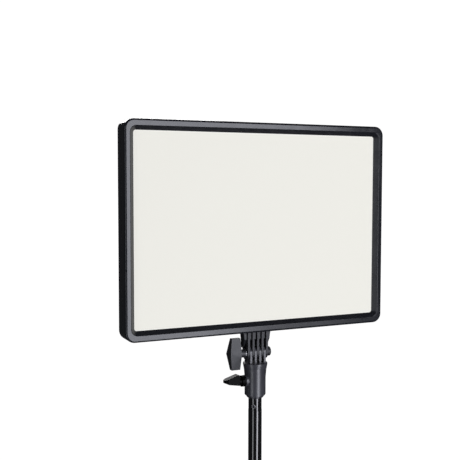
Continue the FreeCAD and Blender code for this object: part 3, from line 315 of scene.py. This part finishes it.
def make_foam():
    """Closed-cell foam strip."""
    shader = Shader("black_foam")
    point = shader.place()
    cells = shader.add("TexVoronoi")
    cells.inputs["Scale"].default_value = 1 / (0.35 * MM)
    shader.join(point, cells.inputs["Vector"])
    shader.join(shader.ramp(cells.outputs["Distance"], (0.012, 0.012, 0.012), (0.03, 0.03, 0.03)),
                shader.main.inputs["Base Color"])
    shader.join(shader.span(cells.outputs["Distance"], 0.8, 0.95), shader.main.inputs["Roughness"])
    shader.bump(cells.outputs["Distance"], 0.00008)
    return shader.material


def make_materials():
    """One material for every slot of the record."""
    return {
        "black_abs": moulded("black_abs", (0.0135, 0.0142, 0.0178), 0.18, 0.00045, 0.000003,
                             specular=0.6),
        "housing_abs": moulded("housing_abs", (0.011, 0.0115, 0.013), 0.42, 0.0006, 0.000015,
                               specular=0.5),
        "bracket_nylon": moulded("bracket_nylon", (0.052, 0.0525, 0.061), 0.31, 0.0005, 0.000012,
                                 specular=0.9),
        # Painted shade: a darker, less glossy copy of the bracket nylon, standing in for the shade
        # the head casts on the yoke.
        "yoke_nylon": moulded("yoke_nylon", (0.018, 0.0182, 0.0215), 0.40, 0.0005, 0.000012,
                              specular=0.5),
        # Painted shade: near black with almost no gloss, standing in for the dark shade on the
        # paddle's downward-facing front.
        "paddle_nylon": moulded("paddle_nylon", (0.003, 0.003, 0.0033), 0.25, 0.0005, 0.000004,
                                specular=0.045),
        "knob_nylon": moulded("knob_nylon", (0.028, 0.0285, 0.032), 0.42, 0.0006, 0.00002,
                              specular=0.6),
        "dial_plastic": moulded("dial_plastic", (0.018, 0.018, 0.02), 0.45, 0.0004, 0.00002),
        "rocker_plastic": moulded("rocker_plastic", (0.01, 0.01, 0.011), 0.2, 0.0008, 0.000004),
        "opal_acrylic": make_opal(),
        "clear_acrylic": make_clear_acrylic(),
        "smoked_window": make_smoked_window(),
        "white_film": moulded("white_film", (0.82, 0.82, 0.82), 0.35, 0.0003, 0.000004,
                              mottle=0.03, lift=1.03),
        "black_foam": make_foam(),
        "pan_aluminium": metal("pan_aluminium", (0.72, 0.73, 0.74), 0.34, (1, 1, 0.03)),
        "strip_board": make_board("strip_board", (0.82, 0.82, 0.80), (0.70, 0.70, 0.67)),
        "led_package": make_led(),
        "green_board": make_board("green_board", (0.012, 0.085, 0.03), (0.03, 0.16, 0.06)),
        "ferrite": moulded("ferrite", (0.035, 0.035, 0.037), 0.7, 0.0003, 0.00004),
        "capacitor_can": metal("capacitor_can", (0.62, 0.63, 0.65), 0.3),
        "chip_epoxy": moulded("chip_epoxy", (0.012, 0.012, 0.012), 0.55, 0.0002, 0.00001),
        "display_glass": make_display(),
        "zinc_steel": metal("zinc_steel", (0.60, 0.61, 0.62), 0.36),
        "black_screw": metal("black_screw", (0.05, 0.05, 0.052), 0.4),
        "bolt_steel": metal("bolt_steel", (0.55, 0.56, 0.57), 0.3, (0.04, 1, 1)),
        "insert_brass": metal("insert_brass", (0.72, 0.52, 0.22), 0.3, (0.04, 1, 1)),
        "pressure_nylon": moulded("pressure_nylon", (0.72, 0.71, 0.66), 0.5, 0.0005, 0.00001,
                                  mottle=0.04, lift=1.04),
        "gloss_black_tube": make_gloss_tube(),
        "spigot_aluminium": metal("spigot_aluminium", (0.68, 0.69, 0.70), 0.3, (1, 1, 6)),
        "plug_nylon": moulded("plug_nylon", (0.02, 0.02, 0.021), 0.5, 0.0005, 0.00002),
    }


MATERIALS = make_materials()


def dress_nodes():
    """Give every CAD node the material of its slot in the record."""
    for entry in frame["record"]["subparts"]:
        item = NODES[entry["node"]]
        item.data.materials.clear()
        item.data.materials.append(MATERIALS[entry["material_slot"]])


dress_nodes()


# ---------------------------------------------------------------- softened edges

# The radius of the moulded or broken edges of each CAD node, in millimetres.
EDGE_RADII = {
    "tilt_knob": 0.8,
    "tilt_yoke": 0.4,
    "stand_socket": 0.35,
    "socket_liner": 0.2,
    "front_bezel": 0.5,
    "power_rocker": 0.5,
    "power_switch": 0.3,
    "display_window": 0.2,
    "stand_tube": 0.25,
    "tilt_washer": 0.15,
    "led_strip_left": 0.1,
    "led_strip_right": 0.1,
    "back_pan": 0.3,
}


def soften_edges():
    """Round the sharp edges of the CAD nodes, without touching the meshes themselves."""
    for name, radius in EDGE_RADII.items():
        item = NODES[name]
        item.data.polygons.foreach_set("use_smooth", [True] * len(item.data.polygons))
        weld = item.modifiers.new("weld", "WELD")
        weld.merge_threshold = 1e-6
        bevel = item.modifiers.new("bevel", "BEVEL")
        bevel.width = radius * MM
        bevel.segments = 3
        bevel.limit_method = "ANGLE"
        bevel.angle_limit = math.radians(28)
        bevel.use_clamp_overlap = True
        bevel.harden_normals = False
        normals = item.modifiers.new("normals", "WEIGHTED_NORMAL")
        normals.keep_sharp = True


soften_edges()


# ---------------------------------------------------------------- small raised and printed details

PRINT_HEIGHT = 0.05 * MM
X_AXIS = Vector((1, 0, 0))
Y_AXIS = Vector((0, 1, 0))
Z_AXIS = Vector((0, 0, 1))


def surface(node, across, up):
    """The point and the normal of a CAD node's back surface at a place across and up."""
    tree = BVHTree.FromObject(NODES[node], bpy.context.evaluated_depsgraph_get())
    point, normal, _, _ = tree.ray_cast(Vector((across, 1, up)), -Y_AXIS)
    return point, normal


def middle(node):
    """The middle of a CAD node's box."""
    low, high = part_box(node)
    return (low + high) / 2


def bridge(shape, first, second):
    """Join two loops of the same length with faces."""
    count = len(first)
    for i in range(count):
        j = (i + 1) % count
        shape.faces.new((first[i], first[j], second[j], second[i]))


def block(shape, centre, length_axis, out_axis, length, width, height=PRINT_HEIGHT):
    """Add a low block with drafted sides, standing on a surface at its centre."""
    side_axis = out_axis.cross(length_axis).normalized()
    rings = []
    for lift, inset in ((0, 0), (height, height / 2)):
        half_length = length / 2 - inset
        half_width = width / 2 - inset
        rings.append([shape.verts.new(centre + out_axis * lift
                                      + length_axis * (half_length * along)
                                      + side_axis * (half_width * side))
                      for along, side in ((-1, -1), (1, -1), (1, 1), (-1, 1))])
    bridge(shape, *rings)
    shape.faces.new(reversed(rings[0]))
    shape.faces.new(rings[1])


def ring(shape, centre, up_axis, out_axis, radius, width, height=PRINT_HEIGHT):
    """Add a low ring with drafted sides, standing on a surface."""
    side_axis = out_axis.cross(up_axis).normalized()
    inner = radius - width / 2
    outer = radius + width / 2
    profile = [(inner, 0), (outer, 0), (outer - height / 2, height), (inner + height / 2, height)]
    steps = 32
    loops = []
    for step in range(steps):
        turn = 2 * math.pi * step / steps
        spoke = up_axis * math.cos(turn) + side_axis * math.sin(turn)
        loops.append([shape.verts.new(centre + spoke * reach + out_axis * lift)
                      for reach, lift in profile])
    for step in range(steps):
        bridge(shape, loops[step], loops[(step + 1) % steps])


def attach(name, data, body, material):
    """Put a mesh or a curve in the scene and let it ride on a body."""
    data.materials.append(material)
    item = bpy.data.objects.new(name, data)
    bpy.context.scene.collection.objects.link(item)
    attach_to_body(item, body)


def piece(name, fill, body, material):
    """Make a piece from a function that fills its mesh."""
    mesh = bpy.data.meshes.new(name)
    shape = bmesh.new()
    fill(shape)
    bmesh.ops.recalc_face_normals(shape, faces=shape.faces)
    shape.to_mesh(mesh)
    shape.free()
    attach(name, mesh, body, material)


DIAL_BODIES = {"brightness_dial": "brightness_control", "colour_dial": "colour_control"}
TICK_COUNT = 11
TICK_SWEEP = math.radians(270)
TICK_GAP = 1.2 * MM
TICK_SIZE = (1.6 * MM, 0.45 * MM)
END_TICK_SIZE = (2.2 * MM, 0.7 * MM)
POINTER_WIDTH = 0.9 * MM
POINTER_HEIGHT = 0.15 * MM
# The pointer's middle and its length, as parts of the dial's radius.
POINTER_MIDDLE = 0.52
POINTER_LENGTH = 0.48


def make_dial_marks(print_white):
    """Tick marks printed round each dial, and a raised pointer line on the dial."""
    for node, body in DIAL_BODIES.items():
        low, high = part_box(node)
        centre = (low + high) / 2
        radius = (high.x - low.x) / 2
        above_dial = high.z + 3 * MM
        face, _ = surface("control_housing", centre.x, above_dial)
        hub = Vector((centre.x, face.y, centre.z))
        dish, _ = surface(node, centre.x, centre.z + radius / 2)

        def fill_ticks(shape):
            for index in range(TICK_COUNT):
                turn = TICK_SWEEP * (index / (TICK_COUNT - 1) - 0.5)
                spoke = X_AXIS * math.sin(turn) + Z_AXIS * math.cos(turn)
                length, width = END_TICK_SIZE if index in (0, TICK_COUNT - 1) else TICK_SIZE
                place = hub + spoke * (radius + TICK_GAP + length / 2)
                block(shape, place, spoke, Y_AXIS, length, width)

        def fill_pointer(shape):
            place = Vector((centre.x, dish.y, centre.z + radius * POINTER_MIDDLE))
            block(shape, place, Z_AXIS, Y_AXIS, radius * POINTER_LENGTH, POINTER_WIDTH,
                  POINTER_HEIGHT)

        piece(node + "_ticks", fill_ticks, "light_head", print_white)
        piece(node + "_pointer", fill_pointer, body, print_white)


BAR_SIZE = (2.4 * MM, 0.5 * MM)
RING_SIZE = (1.1 * MM, 0.45 * MM)


def make_rocker_marks(print_white):
    """The usual bar and ring on the two halves of the rocker."""
    low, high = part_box("power_rocker")
    centre = (low + high) / 2
    quarter = (high.z - low.z) / 4
    for name, add, size, side in (("rocker_bar", block, BAR_SIZE, 1),
                                  ("rocker_ring", ring, RING_SIZE, -1)):
        point, normal = surface("power_rocker", centre.x, centre.z + side * quarter)
        up = X_AXIS.cross(normal).normalized()

        def fill(shape):
            add(shape, point, up, normal, *size)

        piece(name, fill, "rocker", print_white)


# Two groups of digits on the display: how many, and where the first stands from the middle.
DIGIT_GROUPS = ((3, 16.5 * MM), (4, -3.5 * MM))
DIGIT_PITCH = 4.6 * MM
DIGIT_WIDTH = 2.8 * MM
DIGIT_HEIGHT = 6.4 * MM
DIGIT_STROKE = 0.6 * MM


def add_digit(shape, centre):
    """Add the seven segments of one digit."""
    clearance = DIGIT_STROKE * 1.5
    for level in (-0.5, 0, 0.5):
        block(shape, centre + Z_AXIS * (DIGIT_HEIGHT * level), X_AXIS, Y_AXIS,
              DIGIT_WIDTH - clearance, DIGIT_STROKE)
    for side in (-0.5, 0.5):
        for level in (-0.25, 0.25):
            place = centre + X_AXIS * (DIGIT_WIDTH * side) + Z_AXIS * (DIGIT_HEIGHT * level)
            block(shape, place, Z_AXIS, Y_AXIS, DIGIT_HEIGHT / 2 - clearance, DIGIT_STROKE)


def make_display_digits():
    """Unlit digits on the display's glass."""
    segment = moulded("display_segment", (0.035, 0.042, 0.038), 0.25, 0.0003, 0.000002)
    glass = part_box("display_module")[1].y
    level = middle("display_module").z

    def fill(shape):
        for count, start in DIGIT_GROUPS:
            for index in range(count):
                add_digit(shape, Vector((start - DIGIT_PITCH * index, glass, level)))

    piece("display_digits", fill, "light_head", segment)


RIM_OVERLAP = 0.15 * MM
RIM_SUNK = 0.2 * MM
RIM_THICKNESS = 0.28 * MM


def make_rivet_rim():
    """A pale ring round the rivet in the stand tube; its pale grey is a painted highlight for the
    light its rim catches.
    """
    # Pale grey in place of the rim's reflection: painted highlight.
    rim_highlight = moulded("rivet_rim_painted_highlight", (0.42, 0.42, 0.43), 0.4, 0.0004, 0.000004)
    low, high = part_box("tube_rivet")
    centre = middle("tube_rivet")
    tube_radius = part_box("stand_tube")[1].x - RIM_SUNK
    bearing = math.atan2(centre.y, centre.x)
    rim = (high.z - low.z) / 2 + RIM_OVERLAP
    steps = 24
    curve = bpy.data.curves.new("rivet_rim", "CURVE")
    curve.dimensions = "3D"
    curve.bevel_depth = RIM_THICKNESS
    curve.bevel_resolution = 3
    spline = curve.splines.new("POLY")
    spline.points.add(steps - 1)
    for step, point in enumerate(spline.points):
        turn = 2 * math.pi * step / steps
        around_tube = bearing + rim * math.cos(turn) / tube_radius
        point.co = (tube_radius * math.cos(around_tube), tube_radius * math.sin(around_tube),
                    centre.z + rim * math.sin(turn), 1)
    spline.use_cyclic_u = True
    attach("rivet_rim", curve, "stand", rim_highlight)


PRINT_WHITE = moulded("print_white", (0.72, 0.72, 0.70), 0.45, 0.0003, 0.000004, mottle=0.05,
                      lift=1.03)
make_dial_marks(PRINT_WHITE)
make_rocker_marks(PRINT_WHITE)
make_display_digits()
make_rivet_rim()


# ---------------------------------------------------------------- light and floor

def area_light(name, place, target, width, height, power, colour):
    """A soft box at a place, turned to a target and out of the camera's sight."""
    light = bpy.data.lights.new(name, "AREA")
    light.shape = "RECTANGLE"
    light.size = width
    light.size_y = height
    light.energy = power
    light.color = colour
    item = bpy.data.objects.new(name, light)
    bpy.context.scene.collection.objects.link(item)
    item.location = place
    item.rotation_euler = (Vector(target) - Vector(place)).to_track_quat("-Z", "Y").to_euler()
    item.visible_camera = False


def around(azimuth, elevation, distance):
    """A point round the light head: azimuth 0 is straight in front, positive towards +X."""
    turn = math.radians(azimuth)
    lift = math.radians(elevation)
    reach = math.cos(lift)
    offset = Vector((math.sin(turn) * reach, -math.cos(turn) * reach, math.sin(lift)))
    return HEAD_CENTRE + offset * distance


FRONT_PLANE = 2.1
FRONT_COLOUR = (0.90, 0.915, 1.0)
# Soft boxes in that plane: how far across and above the head's middle, width, height, power.
FRONT_LIGHTS = {
    "key": (0.53, -0.55, 0.85, 2.7, 33),
    "key_right": (1.17, 0.50, 0.45, 0.8, 5.4),
    "key_low": (1.22, -0.6, 0.55, 0.4, 1.05),
    "key_heart": (0.32, -0.05, 0.4, 0.5, 5.5),
}

# Soft boxes that face the head: azimuth, elevation, distance, width, height, power, colour.
ROUND_LIGHTS = {
    "left_strip": (-61, -10, 2.5, 0.6, 2.9, 11, (0.92, 0.95, 1.0)),
    "rim": (171, 30, 2.4, 1.2, 1.0, 38, (1, 1, 1)),
}


def make_lights():
    """Tall soft boxes in front, one at the left and a small one behind for the upper edges."""
    for name, (across, up, width, height, power) in FRONT_LIGHTS.items():
        place = HEAD_CENTRE + Vector((across, -FRONT_PLANE, up))
        area_light(name, place, place + Y_AXIS, width, height, power, FRONT_COLOUR)
    for name, (azimuth, elevation, distance, *size_power_colour) in ROUND_LIGHTS.items():
        area_light(name, around(azimuth, elevation, distance), HEAD_CENTRE, *size_power_colour)


make_lights()


STAGE_RADIUS = 12
FLOOR_SIZE = 20
FLOOR_LEVEL = -1.3


def make_stage():
    """A plain pale floor and backdrop that the camera sees and the object doesn't mirror."""
    world = bpy.data.worlds.new("studio")
    bpy.context.scene.world = world
    world.use_nodes = True
    world.node_tree.nodes["Background"].inputs["Color"].default_value = (0.03, 0.03, 0.033, 1)
    material = bpy.data.materials.new("pale_stage")
    material.use_nodes = True
    shader = material.node_tree.nodes["Principled BSDF"]
    shader.inputs["Base Color"].default_value = (0.9, 0.9, 0.9, 1)
    shader.inputs["Emission Color"].default_value = (1, 1, 1, 1)
    shader.inputs["Emission Strength"].default_value = 1.0
    bpy.ops.mesh.primitive_uv_sphere_add(segments=64, ring_count=32, radius=STAGE_RADIUS)
    dome = bpy.context.object
    dome.name = "backdrop"
    bpy.ops.mesh.primitive_plane_add(size=FLOOR_SIZE, location=(0, 0, FLOOR_LEVEL))
    floor = bpy.context.object
    floor.name = "floor"
    for item in (dome, floor):
        item.data.materials.append(material)
        item.visible_diffuse = False
        item.visible_glossy = False
        item.visible_transmission = False
        item.visible_shadow = False


make_stage()
bpy.context.scene.view_settings.view_transform = "Standard"
